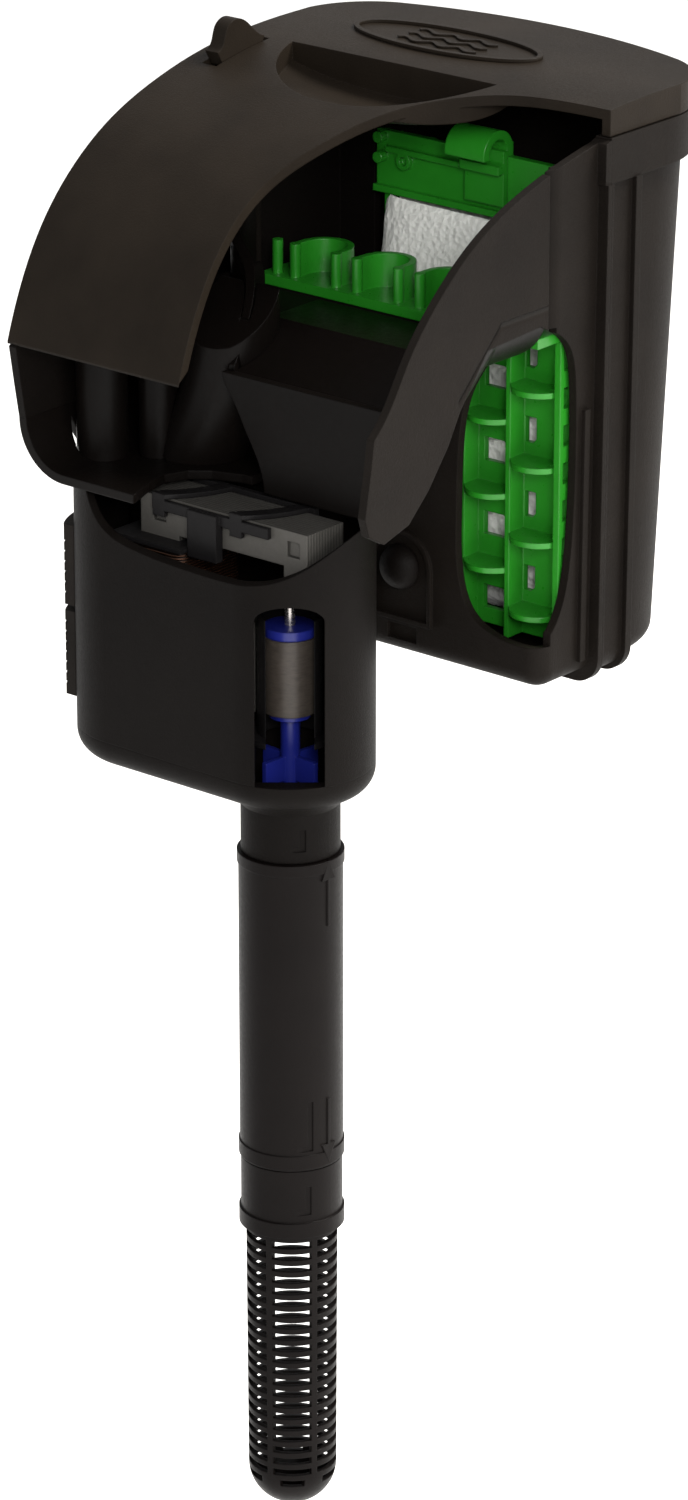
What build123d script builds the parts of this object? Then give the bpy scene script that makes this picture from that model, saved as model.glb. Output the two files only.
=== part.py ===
from build123d import *
import math
import os

os.makedirs("parts", exist_ok=True)

# Hang on back power filter, display version with its inside laid open.
# Millimetres. +X runs along the tank wall, +Y leads away from the tank, +Z is up.
# The origin is the centre of the underside of the bridge that rests on the tank rim.

GAP = 0.3
WALL = 2.2

# filter box
BOX_LEFT = -54.2
BOX_RIGHT = 55.4
BOX_FRONT = 9.0
BOX_BACK = 78.0
BOX_TOP = 51.0
BOX_BOTTOM = -81.0
BOX_SIDE_DRAFT = 1.2
BOX_BACK_DRAFT = 8.0
BOX_CORNER_FRONT = 5.0
BOX_CORNER_BACK = 27.0
BOX_FLOOR_ROUND = 4.0
PARTING_Y = 29.0
FLANGE_FRONT = 27.6
FLANGE_BACK = 40.5
FLANGE_RAIL = 2.2
FLANGE_PROUD = 3.0
STRIP_PROUD = 1.6
BAND_HEIGHT = 11.0
BAND_PROUD = 2.6
BAND_FRONT = 27.0
RIB_Y = 24.0
RIB_TOP = -14.0
WEIR_Z = 3.0
SCREW_X = 12.0
SCREW_Z = -58.5
SCREW_R = 2.5
SCREW_BOSS_END = 14.7
RISER_CHAMBER_X = -36.0
WINDOW_FRONT = [
    (60, 8.6), (52.0, 8.2), (44.5, 5.6), (37.5, -2.0), (32.0, -11.0), (29.2, -23.0),
    (28.6, -40.0), (29.2, -57.0), (33.0, -66.0), (41.0, -70.0), (52.0, -70.6), (60, -70.0),
]
WINDOW_SIDE = [
    (8, 8.4), (14.0, 6.6), (18.8, 1.5), (20.8, -8.0), (21.2, -30.0),
    (20.0, -50.0), (17.6, -60.5), (14.0, -66.5), (8, -70.2),
]

# bridge, spout and cheeks
RIM_SLOT_FRONT = -8.6
DECK_THICK = 3.0
DECK_LEFT = -14.0
DECK_STATIONS = [(9.0, 3.0, 12.0), (RIM_SLOT_FRONT, 3.0, 12.0), (-24.0, -7.0, 7.0)]
APRON_OUTLINE = [
    (-14.0, -6.5), (-13.3, -9.0), (-10.6, -13.0), (-7.2, -19.0), (-3.0, -26.5), (-1.0, -34.0),
    (36.0, -34.0), (36.0, -6.5),
]
APRON_FRONT = -26.4
CHEEK_OUT = 55.6
CHEEK_THICK = 2.2
LEFT_CHEEK_OUT = -56.5
CHEEK_TOP = [
    (-54.1, -2.2), (-48.9, 3.1), (-41.9, 13.5), (-31.4, 25.1),
    (-17.3, 35.8), (0.7, 43.6), (15.2, 47.5), (27.0, 49.9),
]
CHEEK_FRONT = [(-55.1, -8.9), (-57.2, -20.2), (-55.8, -24.8), (-50.5, -27.8)]
CHEEK_LOWER = [(-41.7, -25.4), (-34.6, -18.9), (-27.5, -10.0), (-23.3, -2.8), (-13.3, 9.4), (6.3, 10.4)]
TRAY_FLOOR_Z = -34.4
TRAY_FRONT_Y = -51.0
TRAY_RIGHT_X = -8.0
TRAY_CORNER = 14.0
TRAY_THICK = 2.2
TRAY_CUT = [
    (60, -60), (-20.0, -60.0), (-20.5, -50.0), (-23.5, -42.0), (-24.8, -35.0), (-22.5, -29.0),
    (-18.0, -25.5), (-11.0, -23.0), (0.0, -22.0), (60, -22.0),
]
GLAND_PLACE = (-20.0, 4.0)
TEARDROP = (-36.5, -31.0)

# riser columns
COLUMN_OUTER = (-46.3, -33.0, 6.2)
COLUMN_INNER = (-36.4, -24.0, 4.7)
COLUMN_TOP_Z = 3.0
COLUMN_WALL = 1.5
DUCT_PATH = [(-30.5, -17.0, -33.0), (-24.5, -16.4, -21.0), (-20.5, -16.0, -10.0), (-18.5, -16.0, 14.0)]
DUCT_RADIUS = 10.2
CHANNEL_WALL = [(-34.5, 9.0), (-33.0, 1.0), (-27.0, -5.5), (-19.0, -10.5), (-14.5, -16.5), (-13.0, -24.5)]
CHANNEL_WALL_TOP = 27.0
CHANNEL_WALL_SLOPE = [
    (-30.0, -12.0), (-30.0, -11.0), (-24.5, -5.5), (-20.0, 2.5), (-9.0, 16.0), (9.0, 27.0), (9.0, -12.0),
]

# lid
LID_THICK = 2.5
LID_TOP = 58.5
LID_CURVE = [
    (-54.0, -1.0), (-48.5, 13.0), (-40.7, 25.9), (-30.1, 36.9),
    (-17.7, 45.2), (-1.7, 51.6), (16.2, 55.9), (34.0, 58.0), (50.0, 58.5),
]
LID_BACK_Y = 80.5
CUT_EDGE = [
    (-3.0, -62.0), (-3.2, -54.0), (-3.5, -40.0), (-2.0, -25.0), (3.0, -11.0), (9.5, 5.0),
    (18.5, 17.0), (30.0, 25.5), (42.0, 28.5), (70.0, 29.0),
]
RECESS_LEFT = -40.0
RECESS_RIGHT = 23.0
RECESS_BACK = 30.0
RECESS_FRONT = 5.0
RECESS_DEPTH = 8.5
RECESS_SWEEP_Y = 23.0
LEVER_X = -48.8
LEVER_THICK = 4.0
LEVER_PIVOT = (19.0, 52.0)
LEVER_PIN_R = 1.5

# motor housing and pump
PUMP_X = 9.0
PUMP_Y = -29.0
HOUSING_LEFT_X = -32.0
HOUSING_R = 20.4
HOUSING_SEAM_Z = -97.7
SCOOP_SLOPE = 0.27
CAP_DEPTH = 7.3
NECK_R = 12.0
NECK_BORE_R = 9.9
NECK_TOP = -105.0
NECK_END = -120.0
CUT_TURN = -50.0
WINDOW_WIDTH = 16.5
WINDOW_TOP = -52.4
WELL_R = 6.9
WELL_WALL = 1.0
WELL_TOP = -61.0
WELL_FOOT = -92.0
PIN_FOOT = -111.2
PIN_TOP = -57.0
BUSH_Z = (-58.4, -56.8)
CHAMBER_R = 9.3
CHAMBER_WALL = 1.5
PIN_R = 1.25
PIN_FIT = 0.05
MAGNET_R = 6.6
MAGNET_BOTTOM = -85.0
MAGNET_TOP = -66.0
CAP_R = 6.2
CAP_TOP = -63.7
HUB_R = 2.35
HUB_BOTTOM = -105.0
BLADE_R = 8.7
BLADE_BOTTOM = -102.5
BLADE_TOP = -96.5
BLADE_THICK = 1.3
BLADE_FIRST = -5.0

# stator
CORE_FRONT = -39.0
CORE_BACK = -26.0
BAR = (-28.8, 22.9, -44.8, -36.0)
COIL_LEG = (-28.8, -16.8)
POLE_GAP_R = 8.25
RIVET_X = (18.7, -22.8)

# intake tubes
TUBE_R = 12.6
TUBE_END = -200.0
TUBE_BORE_R = 10.05
COUPLER_R = 12.4
COUPLER_END = -214.0
COLLAR_R = 12.9
COLLAR_END = -218.0
STRAINER_R = 11.2
STRAINER_TIP_R = 10.9
STRAINER_TIP_Z = -295.0
STRAINER_WALL = 1.2
SLOT_ROWS = 21
SLOT_PITCH = 3.1
SLOT_HEIGHT = 1.7
SLOT_HALF_ANGLE = 26.0
SLOT_TOP = -221.5

# bio grid and cartridge
COMB_Z = 3.3
COMB_THICK = 2.5
COMB_LEFT = -33.6
COMB_RIGHT = 52.0
COMB_FRONT = 9.7
GRID_RIB_FRONT = 19.0
GRID_PLATE_FRONT = 24.4
GRID_PLATE_BACK = 26.0
GRID_RIGHT = 51.6
GRID_BOTTOM = -74.0
GRID_SIDE_BACK = 27.0
GRID_PITCH = 18.6
GRID_FIRST_SHELF = -11.5
GRID_WIDE_HOLE = [(-4.4, -3.0), (3.0, -3.0), (4.4, 0.5), (1.5, 2.8), (-4.4, 2.8)]
GRID_SLIM_HOLE = [(-1.6, -3.2), (0.8, -3.2), (1.8, -2.0), (1.8, 3.2), (-1.6, 3.2)]
GRID_COLUMN = 13.8
CUP_PITCH = 19.3
CUP_R = 7.2
CUP_WALL = 1.6
CUP_POST_R = 1.3
CUP_HEIGHT = 8.3
FRAME_FRONT = 42.0
FRAME_BACK = 44.0
FRAME_TOP = 36.6
FRAME_BAR_BOTTOM = 21.4
BAG_LEFT = -22.6
BAG_RIGHT = 49.2
BAG_WALL = 1.0
BAG_SIDE = [
    (40.7, 21.1), (38.4, 12.0), (32.5, -2.0), (28.8, -18.0), (28.2, -50.0), (31.0, -76.8),
    (50.0, -76.8), (53.8, -50.0), (53.2, -18.0), (50.0, -2.0), (47.0, 12.0), (45.4, 21.1),
]
CARBON_SIDE = [
    (37.5, 4.0), (32.0, -18.0), (31.5, -50.0), (34.0, -71.4),
    (48.0, -71.4), (50.5, -50.0), (50.0, -18.0), (46.5, 4.0),
]
CARBON_LEFT = -17.6
CARBON_RIGHT = 44.1


def save(name, shape):
    export_step(shape, f"parts/{name}.step")


def block(x0, x1, y0, y1, z0, z1):
    centre = Pos((x0 + x1) / 2, (y0 + y1) / 2, (z0 + z1) / 2)
    return centre * Box(x1 - x0, y1 - y0, z1 - z0)


def rod(x, y, z0, z1, r):
    return Pos(x, y, (z0 + z1) / 2) * Cylinder(r, z1 - z0)


def pipe(x, y, z0, z1, r_out, r_in):
    return rod(x, y, z0, z1, r_out) - rod(x, y, z0 - 1, z1 + 1, r_in)


def rod_along_x(x0, x1, y, z, r):
    return Pos((x0 + x1) / 2, y, z) * Rot(0, 90, 0) * Cylinder(r, x1 - x0)


def rod_along_y(x, y0, y1, z, r):
    return Pos(x, (y0 + y1) / 2, z) * Rot(90, 0, 0) * Cylinder(r, y1 - y0)


def side_plate(points, x0, x1):
    """Plate cut to an outline of (y, z) points, x0 to x1 thick."""
    face = make_face(Polyline(*[(x0, y, z) for y, z in points], close=True))
    return extrude(face, amount=x1 - x0, dir=(1, 0, 0))


def front_plate(points, y0, y1):
    """Plate cut to an outline of (x, z) points, y0 to y1 thick."""
    face = make_face(Polyline(*[(x, y0, z) for x, z in points], close=True))
    return extrude(face, amount=y1 - y0, dir=(0, 1, 0))


def flat_plate(points, z0, z1):
    """Plate cut to an outline of (x, y) points, z0 to z1 thick."""
    face = make_face(Polyline(*[(x, y, z0) for x, y in points], close=True))
    return extrude(face, amount=z1 - z0, dir=(0, 0, 1))


def box_outline(z, grow):
    """Rounded plan of the filter box at height z, grown outward by grow."""
    depth = (BOX_TOP - z) / (BOX_TOP - BOX_BOTTOM)
    x0 = BOX_LEFT + BOX_SIDE_DRAFT * depth - grow
    x1 = BOX_RIGHT - BOX_SIDE_DRAFT * depth + grow
    y0 = BOX_FRONT - grow
    y1 = BOX_BACK - BOX_BACK_DRAFT * depth + grow
    plan = Pos((x0 + x1) / 2, (y0 + y1) / 2) * Rectangle(x1 - x0, y1 - y0)
    plan = fillet(plan.vertices().group_by(Axis.Y)[0], max(BOX_CORNER_FRONT + grow, 1.0))
    plan = fillet(plan.vertices().group_by(Axis.Y)[-1], BOX_CORNER_BACK + grow)
    return Pos(0, 0, z) * plan


def box_solid(z0, z1, grow):
    return loft([box_outline(z0, grow), box_outline(z1, grow)])


def above_seam():
    """Everything above the curved top edge of the cheeks."""
    curve = Spline(*[(-60, y, z) for y, z in CHEEK_TOP])
    last_y, last_z = CHEEK_TOP[-1]
    first_y, first_z = CHEEK_TOP[0]
    rest = Polyline(
        (-60, last_y, last_z), (-60, 30.0, BOX_TOP), (-60, 30.0, 90.0),
        (-60, first_y, 90.0), (-60, first_y, first_z),
    )
    return extrude(make_face([curve, rest]), amount=120, dir=(1, 0, 0))


def window_cutter():
    """Opening round the box's front right corner, in the front and side walls."""
    y0 = BOX_FRONT - 4
    front_edge = Spline(*[(x, y0, z) for x, z in WINDOW_FRONT])
    front_face = make_face([front_edge, Line(front_edge @ 1, front_edge @ 0)])
    x0 = BOX_RIGHT - 6
    side_edge = Spline(*[(x0, y, z) for y, z in WINDOW_SIDE])
    side_face = make_face([side_edge, Line(side_edge @ 1, side_edge @ 0)])
    return extrude(front_face, amount=8, dir=(0, 1, 0)) + extrude(side_face, amount=12, dir=(1, 0, 0))


def box_shell():
    outer = box_solid(BOX_BOTTOM, BOX_TOP, 0)
    outer = fillet(outer.edges().group_by(Axis.Z)[0], BOX_FLOOR_ROUND)
    band = box_solid(BOX_TOP - BAND_HEIGHT, BOX_TOP, BAND_PROUD)
    band = band & block(-80, 80, BAND_FRONT, 100, -90, 90)
    under_band = BOX_TOP - BAND_HEIGHT
    strip = box_solid(BOX_BOTTOM - STRIP_PROUD, under_band, STRIP_PROUD)
    strip = fillet(strip.edges().group_by(Axis.Z)[0], BOX_FLOOR_ROUND + STRIP_PROUD)
    strip = strip & block(-80, 80, FLANGE_FRONT, FLANGE_BACK, -90, 90)
    flange = box_solid(BOX_BOTTOM - FLANGE_PROUD, under_band, FLANGE_PROUD)
    flange = fillet(flange.edges().group_by(Axis.Z)[0], BOX_FLOOR_ROUND + FLANGE_PROUD)
    rail_front = flange & block(-80, 80, FLANGE_FRONT, FLANGE_FRONT + FLANGE_RAIL, -90, 90)
    rail_back = flange & block(-80, 80, FLANGE_BACK - FLANGE_RAIL, FLANGE_BACK, -90, 90)
    rib = box_solid(BOX_BOTTOM + 4, RIB_TOP, FLANGE_PROUD - 1.8)
    rib = rib & block(-80, 80, RIB_Y - 1.0, RIB_Y + 1.0, -90, 90)
    inner = box_solid(BOX_BOTTOM + WALL, BOX_TOP + 1, -WALL)
    return outer + band + strip + rail_front + rail_back + rib - inner


def box_front_shell(shell):
    part = shell & block(-80, 80, 0, PARTING_Y, -100, 60)
    part -= above_seam()
    part -= block(RISER_CHAMBER_X + 2, BOX_RIGHT - WALL, 4, BOX_FRONT + WALL + 1.0, WEIR_Z, 80)
    part -= block(-50.0, RISER_CHAMBER_X - 2, 4, BOX_FRONT + WALL + 0.5, WEIR_Z, 12.0)
    part -= window_cutter()
    x, z = SCREW_X, SCREW_Z
    arch = rod_along_y(x, BOX_FRONT - 0.9, BOX_FRONT, z, 9.4)
    arch += block(x - 9.4, x + 9.4, BOX_FRONT - 0.9, BOX_FRONT, z - 14.0, z)
    hollow = rod_along_y(x, 6, BOX_FRONT, z, 8.2)
    hollow += block(x - 8.2, x + 8.2, 6, BOX_FRONT, z - 12.8, z)
    boss = rod_along_y(x, BOX_FRONT + WALL, SCREW_BOSS_END, z, 4.2)
    notch = block(x - 4.5, x + 4.5, 7, BOX_FRONT + 0.8, z - 19.0, z - 15.0)
    part = part + (arch - hollow) + boss - notch
    return part - rod_along_y(x, 5, SCREW_BOSS_END + 1, z, SCREW_R + PIN_FIT)


def level_screw():
    """Threaded stem with a domed head that bears on the tank wall."""
    stem = rod_along_y(SCREW_X, BOX_FRONT - 1.5, SCREW_BOSS_END, SCREW_Z, SCREW_R)
    head = Pos(SCREW_X, BOX_FRONT - 0.4, SCREW_Z) * scale(Sphere(5.6), by=(1, 0.85, 1))
    head = head & block(0, 30, -5, BOX_FRONT - 0.4, -70, -50)
    return stem + head


def spout_deck():
    """Sloping sheet from the box over the rim to the spout lip, upturned at the right."""
    sections = []
    for y, z, r in DECK_STATIONS:
        right = CHEEK_OUT
        outer_r = r + DECK_THICK
        low = Line((DECK_LEFT, y, z - DECK_THICK), (right - outer_r, y, z - DECK_THICK))
        out = ThreePointArc(
            low @ 1,
            (right - outer_r * (1 - math.sqrt(0.5)), y, z - DECK_THICK + outer_r * (1 - math.sqrt(0.5))),
            (right, y, z - DECK_THICK + outer_r))
        top = Line(out @ 1, (right - DECK_THICK, y, z + r))
        back = ThreePointArc(
            top @ 1,
            (right - DECK_THICK - r * (1 - math.sqrt(0.5)), y, z + r * (1 - math.sqrt(0.5))),
            (right - DECK_THICK - r, y, z))
        upper = Line(back @ 1, (DECK_LEFT, y, z))
        end = Line(upper @ 1, low @ 0)
        sections.append(make_face([low, out, top, back, upper, end]))
    return loft(sections, ruled=True)


def right_cheek(deck):
    """Side plate of the spout, flush outside with the box's rim band."""
    last_y, last_z = CHEEK_TOP[-1]
    curve = Spline(*[(CHEEK_OUT - CHEEK_THICK, y, z) for y, z in CHEEK_TOP])
    outline = [(last_y, last_z), (last_y, 1.0), (17.0, 4.5)]
    outline += CHEEK_LOWER[::-1] + CHEEK_FRONT[::-1] + [CHEEK_TOP[0]]
    rest = Polyline(*[(CHEEK_OUT - CHEEK_THICK, y, z) for y, z in outline])
    plate = extrude(make_face([curve, rest]), amount=CHEEK_THICK, dir=(1, 0, 0))
    plate -= deck
    return plate & block(40, 70, -80, BOX_FRONT, -90, 60)


def left_cheek():
    """Left side plate, carried down to the tray."""
    last_y, last_z = CHEEK_TOP[-1]
    curve = Spline(*[(LEFT_CHEEK_OUT, y, z) for y, z in CHEEK_TOP])
    low = TRAY_FLOOR_Z + TRAY_CORNER
    outline = [
        (last_y, last_z), (last_y, 0.0), (RIM_SLOT_FRONT, 0.0), (RIM_SLOT_FRONT, low),
        (TRAY_FRONT_Y, low), (-52.5, -12.0), CHEEK_TOP[0],
    ]
    rest = Polyline(*[(LEFT_CHEEK_OUT, y, z) for y, z in outline])
    plate = extrude(make_face([curve, rest]), amount=TRAY_THICK, dir=(1, 0, 0))
    plate = (plate & block(-80, 0, -80, BOX_FRONT, -90, 60)) + cord_gland_boss()
    lid_space = lid_shell()[0]
    return plate - lid_space - Pos(0, 0, -GAP) * lid_space - Pos(0, -GAP, 0) * lid_space


def spout_tray():
    """Open channel under the columns: floor with a large rounded left corner."""
    x0 = LEFT_CHEEK_OUT
    z0 = TRAY_FLOOR_Z
    r = TRAY_CORNER
    t = TRAY_THICK
    y0 = TRAY_FRONT_Y
    bow = math.sqrt(0.5)
    lines = [
        Line((TRAY_RIGHT_X, y0, z0), (x0 + r, y0, z0)),
        ThreePointArc((x0 + r, y0, z0), (x0 + r * (1 - bow), y0, z0 + r * (1 - bow)), (x0, y0, z0 + r)),
        Line((x0, y0, z0 + r), (x0 + t, y0, z0 + r)),
        ThreePointArc(
            (x0 + t, y0, z0 + r),
            (x0 + r - (r - t) * bow, y0, z0 + r - (r - t) * bow),
            (x0 + r, y0, z0 + t)),
        Line((x0 + r, y0, z0 + t), (TRAY_RIGHT_X, y0, z0 + t)),
        Line((TRAY_RIGHT_X, y0, z0 + t), (TRAY_RIGHT_X, y0, z0)),
    ]
    tray = extrude(make_face(lines), amount=RIM_SLOT_FRONT - TRAY_THICK - y0, dir=(0, 1, 0))
    for x, y, r_col in (COLUMN_OUTER, COLUMN_INNER):
        tray -= rod(x, y, z0 - 1, z0 + t + 1, r_col - COLUMN_WALL)
    y, z = TEARDROP
    tray -= rod_along_x(x0 - 2, x0 + 8, y, z, 2.3)
    tray -= side_plate([(y - 2.2, z), (y + 2.2, z), (y + 1.0, z + 7.5)], x0 - 2, x0 + 8)
    return tray - flat_plate(TRAY_CUT, z0 - 1, z0 + 4)


def back_wall(deck):
    """Wall facing the tank glass, between the motor housing and the bridge."""
    y0 = RIM_SLOT_FRONT - TRAY_THICK
    wall = block(LEFT_CHEEK_OUT + TRAY_THICK, PUMP_X + HOUSING_R, y0, RIM_SLOT_FRONT, TRAY_FLOOR_Z, 0.0)
    corner_x = LEFT_CHEEK_OUT + TRAY_CORNER
    corner_z = TRAY_FLOOR_Z + TRAY_CORNER
    corner = block(LEFT_CHEEK_OUT, corner_x, -30, 0, TRAY_FLOOR_Z - 1, corner_z)
    quarter = rod_along_y(corner_x, -31, 1, corner_z, TRAY_CORNER)
    return wall - deck - (corner - quarter)


def bridge_plate():
    x0 = LEFT_CHEEK_OUT + TRAY_THICK
    y0 = RIM_SLOT_FRONT - TRAY_THICK
    return block(x0, DECK_LEFT, y0, BOX_FRONT, 0.0, DECK_THICK)


def column(spec):
    x, y, r = spec
    return pipe(x, y, TRAY_FLOOR_Z + TRAY_THICK, COLUMN_TOP_Z, r, r - COLUMN_WALL)


def spout_apron(deck):
    """Upright front panel under the deck's fold, with a curved left edge."""
    curve = Spline(*[(x, APRON_FRONT, z) for x, z in APRON_OUTLINE[:6]])
    rest = Polyline(*[(x, APRON_FRONT, z) for x, z in APRON_OUTLINE[5:] + APRON_OUTLINE[:1]])
    return extrude(make_face([curve, rest]), amount=TRAY_THICK, dir=(0, 1, 0)) - deck


def channel_wall(grow):
    """Curved wall on the left of the water channel, from the weir to the fold."""
    path = Spline(*[(x, y, 0) for x, y in CHANNEL_WALL])
    ribbon = Plane(origin=path @ 0, x_dir=(0, 0, 1), z_dir=path % 0) * Rectangle(120, WALL + 2 * grow)
    strip = sweep(ribbon, path=path)
    low = DECK_THICK + GAP
    split = RIM_SLOT_FRONT - TRAY_THICK - GAP
    keep = block(-60, 20, split, BOX_FRONT - GAP, low, CHANNEL_WALL_TOP)
    keep += block(-60, 20, -24.3, split, -9.0, CHANNEL_WALL_TOP)
    return strip & keep & side_plate(CHANNEL_WALL_SLOPE, -60, 20)


def riser_elbow():
    """Low duct that carries the risers' water over the bridge into the box."""
    z0 = COLUMN_TOP_Z
    shell = block(-54.3, -31.0, -40.5, BOX_FRONT, z0, 10.5)
    shell = fillet(shell.edges().filter_by(Axis.Y).group_by(Axis.Z)[-1], 5.0)
    shell = fillet(shell.edges().group_by(Axis.Y)[0].filter_by(Axis.Z), 5.0)
    hollow = block(-52.8, -32.5, -39.0, 12.0, z0 + 1.5, 9.2)
    shell -= hollow
    for x, y, r in (COLUMN_OUTER, COLUMN_INNER):
        shell -= rod(x, y, z0 - 1, z0 + 3, r - COLUMN_WALL)
    return main_solid(shell - channel_wall(GAP))


def side_duct(deck, apron):
    """Leaning rounded duct from the tray up to the deck's left end."""
    path = Spline(*DUCT_PATH)
    duct = sweep(Plane(origin=path @ 0, z_dir=path % 0) * Circle(DUCT_RADIUS), path=path)
    x, y, r = COLUMN_INNER
    keep = block(-60, 20, -60, RIM_SLOT_FRONT - TRAY_THICK - GAP, TRAY_FLOOR_Z + TRAY_THICK, 20)
    keep = keep & side_plate([(-40, -50), (-40, -8.0), (-24.5, -1.0), (-9.0, 13.0), (-9.0, -50)], -60, 20)
    keep -= block(-60, 20, -60, 20, COLUMN_TOP_Z - GAP, 20) & block(-60, -30.8, -60, 20, -60, 60)
    return main_solid((duct & keep) - deck - apron - channel_wall(GAP) - rod(x, y, -60, 60, r + GAP))


def divider_wall():
    """Wall between the riser chamber and the media chamber."""
    x = RISER_CHAMBER_X
    wall = block(x - WALL, x, BOX_FRONT + WALL, 43.0, -60.0, 42.0)
    return wall + block(x - WALL, x + 11.0, 43.0, 43.0 + WALL, -60.0, 42.0)


def lid_plan(grow):
    x0 = -56.6 - grow
    x1 = 57.4 + grow
    front = -54.0 - grow
    back = LID_BACK_Y + grow
    outline = [
        Line((x0 - 0.4, front), (x1 - 0.6, front)),
        Line((x1 - 0.6, front), (x1, 0)),
        Line((x1, 0), (x1, 56)),
        ThreePointArc((x1, 56), (x1 - 4.5, 66.5), (x1 - 14, 73.5)),
        ThreePointArc((x1 - 14, 73.5), (0.5, back), (x0 + 14, 73.5)),
        ThreePointArc((x0 + 14, 73.5), (x0 + 4.5, 66.5), (x0, 56)),
        Line((x0, 56), (x0, 0)),
        Line((x0, 0), (x0 - 0.4, front)),
    ]
    return make_face(outline)


def inset_curve(points, d):
    """Points of a curve moved d to its lower right side."""
    moved = []
    for i, (y, z) in enumerate(points):
        y_a, z_a = points[max(i - 1, 0)]
        y_b, z_b = points[min(i + 1, len(points) - 1)]
        run = math.hypot(y_b - y_a, z_b - z_a)
        moved.append((y + d * (z_b - z_a) / run, z - d * (y_b - y_a) / run))
    return moved


def hood_body(points, low_points, drop):
    """Solid under a hood curve and over a seam curve, full width."""
    far = 90.0
    upper = Spline(*[(-70, y, z) for y, z in points])
    end_y, end_z = points[-1]
    low_y, low_z = low_points[-1]
    back = Polyline((-70, end_y, end_z), (-70, far, end_z), (-70, far, low_z), (-70, low_y, low_z))
    lower = Spline(*[(-70, y, z) for y, z in low_points[::-1]])
    first_y, first_z = points[0]
    start_y, start_z = low_points[0]
    front = Polyline((-70, start_y, start_z), (-70, first_y, first_z - drop), (-70, first_y, first_z))
    return extrude(make_face([upper, back, lower, front]), amount=140, dir=(1, 0, 0))


def lid_shell():
    seam = [(y + 0.2, z + GAP) for y, z in CHEEK_TOP]
    seam[0] = (-53.6, -0.6)
    seam[-1] = (27.0, BOX_TOP + GAP)
    outer = hood_body(LID_CURVE, seam, 0.6)
    outer = outer & extrude(Pos(0, 0, -20) * lid_plan(0), amount=100)
    inner_curve = inset_curve(LID_CURVE, LID_THICK)
    low = [(y + 3.0, z - 12.0) for y, z in CHEEK_TOP]
    low[0] = (-51.0, -12.0)
    cavity = hood_body(inner_curve, low, 11.0)
    cavity = cavity & extrude(Pos(0, 0, -20) * offset(lid_plan(0), -LID_THICK), amount=100)
    return outer, cavity


def recess_plan(grow):
    mid = RECESS_LEFT + 0.6 * (RECESS_RIGHT - RECESS_LEFT)
    return make_face([
        Line((RECESS_LEFT - grow, RECESS_BACK + grow), (RECESS_RIGHT + grow, RECESS_BACK + grow)),
        ThreePointArc(
            (RECESS_RIGHT + grow, RECESS_BACK + grow),
            (mid, RECESS_FRONT - grow),
            (RECESS_LEFT - grow, RECESS_BACK + grow)),
    ])


def recess_solid(grow):
    """Boat shaped pocket: upright back, floor that rises to the front."""
    prism = extrude(Pos(0, 0, 30) * recess_plan(grow), amount=50)
    hull = scale(Sphere(1.0), by=(42.0 + grow, 22.0 + grow, RECESS_DEPTH + 1.5 + grow))
    mid = (RECESS_LEFT + RECESS_RIGHT) / 2
    return prism & (Pos(mid, RECESS_SWEEP_Y, LID_TOP + 0.5) * hull)


def lid():
    outer, cavity = lid_shell()
    below = hood_body(LID_CURVE, [(y, z - 9.0) for y, z in CHEEK_TOP], 9.0)
    cup = recess_solid(LID_THICK - 0.5) & below
    part = (outer - cavity) + cup - recess_solid(0)
    y, z = LEVER_PIVOT
    slot_x = LEVER_THICK / 2 + GAP
    part -= block(LEVER_X - slot_x, LEVER_X + slot_x, y - 9.5, y + 10.0, 40, 70)
    part += rod_along_x(-55.5, LEVER_X + slot_x + 1.5, y, z, LEVER_PIN_R)
    edge = Spline(*[(x, y, -40) for x, y in CUT_EDGE])
    far = Polyline(edge @ 1, (70.0, -62.0, -40), edge @ 0)
    return part - extrude(make_face([edge, far]), amount=130, dir=(0, 0, 1))


def flow_lever():
    """Thumb fin on a pivot hub at the lid's left edge."""
    y, z = LEVER_PIVOT
    x0 = LEVER_X - LEVER_THICK / 2
    x1 = LEVER_X + LEVER_THICK / 2
    hub = rod_along_x(x0, x1, y, z, 4.2)
    crest = Spline(
        (x0, y - 8.6, z + 5.6), (x0, y - 6.6, z + 7.0), (x0, y - 5.0, z + 11.0), (x0, y - 2.0, z + 12.6),
        (x0, y + 1.5, z + 11.6), (x0, y + 5.0, z + 8.6), (x0, y + 8.6, z + 6.6))
    foot = Polyline(crest @ 1, (x0, y + 6.5, z + 2.0), (x0, y - 6.5, z + 2.0), crest @ 0)
    fin = extrude(make_face([crest, foot]), amount=x1 - x0, dir=(1, 0, 0))
    neck = block(x0, x1, y - 3.8, y + 3.8, z, z + 4)
    return hub + fin + neck - rod_along_x(x0 - 1, x1 + 1, y, z, LEVER_PIN_R + PIN_FIT)


def emblem():
    """Oval raised border with three plain waves."""
    z = LID_TOP
    border = Pos(-9, 51, z) * Ellipse(28.0, 10.5)
    part = extrude(border - Pos(-9, 51, z) * Ellipse(26.6, 9.1), amount=0.8)
    for row in range(3):
        y = 46.8 + row * 4.2
        points = [(-9 + (i - 6) * 2.0, y + 1.0 * math.sin(i * math.pi / 2), z) for i in range(13)]
        wave = Spline(*points)
        stroke = sweep(Plane(origin=points[0], z_dir=wave % 0) * Rectangle(1.0, 1.0), path=wave)
        part += stroke & block(-40, 20, 30, 70, z, z + 0.6)
    return part


def stadium(z, r):
    mid = (HOUSING_LEFT_X + PUMP_X) / 2
    length = PUMP_X - HOUSING_LEFT_X
    return Pos(mid, PUMP_Y, z) * SlotCenterToCenter(length, 2 * r)


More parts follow.
